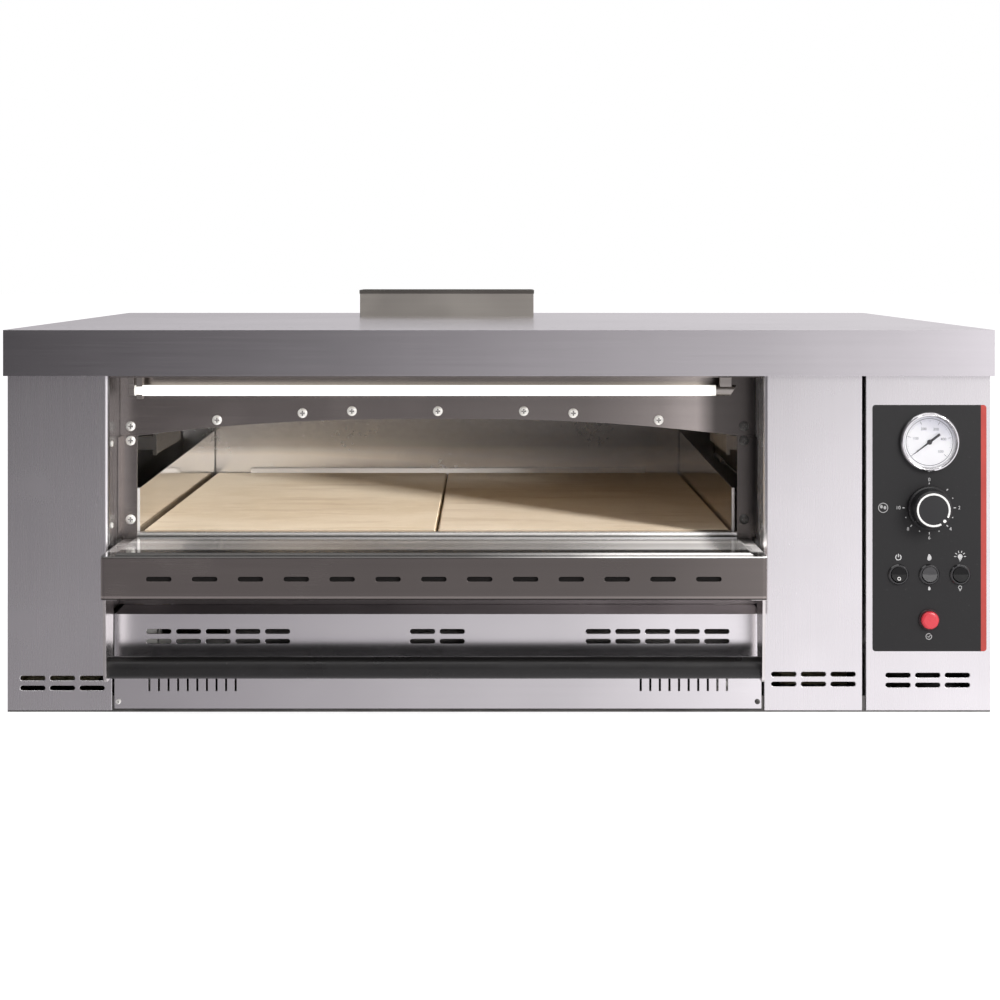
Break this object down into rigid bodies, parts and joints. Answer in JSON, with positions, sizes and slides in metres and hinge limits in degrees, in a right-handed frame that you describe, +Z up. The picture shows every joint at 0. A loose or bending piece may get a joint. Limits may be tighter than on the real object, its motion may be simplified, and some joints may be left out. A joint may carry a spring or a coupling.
{
  "type": "deck oven",
  "caption": "Gas deck oven with a stone baking floor behind a wide drop-down door, an arched mouth, a side control column and a rear flue collar.",
  "frame": {"origin": "on the underside of the base tray, midway across the hood and midway along the hood's depth", "axes": "+X to the right seen from the front, +Y to the back, +Z up; the mouth and the controls face -Y"},
  "size_m": [1, 0.874, 0.42],
  "materials": {
    "outer_steel": "satin",
    "hood_steel": "satin",
    "collar_steel": "satin",
    "polished_steel": "polished",
    "inner_steel": "satin",
    "frame_steel": "matte",
    "overlay_film": "satin",
    "stone": "matte",
    "wool": "matte",
    "burner_steel": "matte",
    "brass": "satin",
    "ceramic_white": "gloss",
    "valve_cast": "satin",
    "box_plastic": "satin",
    "chrome": "polished",
    "dial_white": "satin",
    "needle_black": "gloss",
    "clear_glass": "gloss",
    "knob_black": "satin",
    "rocker_black": "gloss",
    "reset_red": "gloss",
    "reset_ring": "gloss",
    "lamp_glow": "matte",
    "lamp_metal": "satin",
    "door_steel": "satin",
    "handle_black": "satin",
    "screw_steel": "polished"
  },
  "bodies": {
    "casing": {"base_tray": "frame_steel", "rear_panel": "outer_steel", "left_side_panel": "outer_steel", "right_side_panel": "outer_steel", "top_cover": "hood_steel", "flue_collar": "collar_steel", "flue_duct": "frame_steel", "front_left_panel": "outer_steel", "front_right_panel": "outer_steel", "control_column": "outer_steel", "control_overlay": "overlay_film", "burner_cover": "outer_steel", "hinge_beam": "inner_steel", "threshold": "polished_steel", "soffit": "inner_steel", "lintel": "inner_steel", "left_jamb": "inner_steel", "right_jamb": "inner_steel", "partition": "frame_steel", "chamber_shell": "inner_steel", "chamber_rear_wall": "inner_steel", "left_stone": "stone", "right_stone": "stone", "stone_rack": "polished_steel", "left_flame_guard": "polished_steel", "right_flame_guard": "polished_steel", "side_rails": "inner_steel", "chamber_insulation": "wool", "burners": "burner_steel", "gas_manifold": "burner_steel", "injectors": "brass", "spark_electrode": "ceramic_white", "gas_valve": "valve_cast", "gas_inlet": "brass", "ignition_box": "box_plastic", "thermostat": "valve_cast", "gauge_case": "chrome", "gauge_dial": "dial_white", "gauge_glass": "clear_glass", "rocker_housings": "rocker_black", "reset_housing": "reset_ring", "lamp_tube": "lamp_glow", "lamp_holders": "lamp_metal", "hinge_bushes": "brass", "pan_screws": "screw_steel", "small_screws": "screw_steel"},
    "door": {"door_outer_skin": "door_steel", "door_inner_skin": "polished_steel", "door_insulation": "wool", "door_handle": "handle_black", "handle_arms": "polished_steel", "hinge_pins": "chrome", "handle_screws": "screw_steel"},
    "knob_body": {"knob": "knob_black", "thermostat_shaft": "chrome"},
    "needle_body": {"gauge_needle": "needle_black"},
    "power_rocker_body": {"power_rocker": "rocker_black"},
    "flame_rocker_body": {"flame_rocker": "rocker_black"},
    "lamp_rocker_body": {"lamp_rocker": "rocker_black"},
    "reset_body": {"reset_button": "reset_red"}
  },
  "joints": [
    {"name": "door_hinge", "type": "hinge", "parent": "casing", "child": "door", "pos_m": [-0.064, -0.3297, 0.161], "axis": [-1, 0, 0], "range_deg": [0, 90]},
    {"name": "knob_turn", "type": "hinge", "parent": "casing", "child": "knob_body", "pos_m": [0.4353, -0.3986, 0.2064], "axis": [0, 1, 0], "range_deg": [-135, 135]},
    {"name": "gauge_needle_turn", "type": "hinge", "parent": "casing", "child": "needle_body", "pos_m": [0.4353, -0.3896, 0.273], "axis": [0, 1, 0], "range_deg": [0, 257.5]},
    {"name": "power_rocker_tilt", "type": "hinge", "parent": "casing", "child": "power_rocker_body", "pos_m": [0.4041, -0.3884, 0.1389], "axis": [1, 0, 0], "range_deg": [0, 18]},
    {"name": "flame_rocker_tilt", "type": "hinge", "parent": "casing", "child": "flame_rocker_body", "pos_m": [0.4353, -0.3884, 0.1389], "axis": [1, 0, 0], "range_deg": [0, 18]},
    {"name": "lamp_rocker_tilt", "type": "hinge", "parent": "casing", "child": "lamp_rocker_body", "pos_m": [0.4665, -0.3884, 0.1389], "axis": [1, 0, 0], "range_deg": [0, 18]},
    {"name": "reset_press", "type": "slide", "parent": "casing", "child": "reset_body", "axis": [0, 1, 0], "range_m": [0, 0.003], "stiffness_N_per_m": 1000, "springref_m": -0.001}
  ]
}
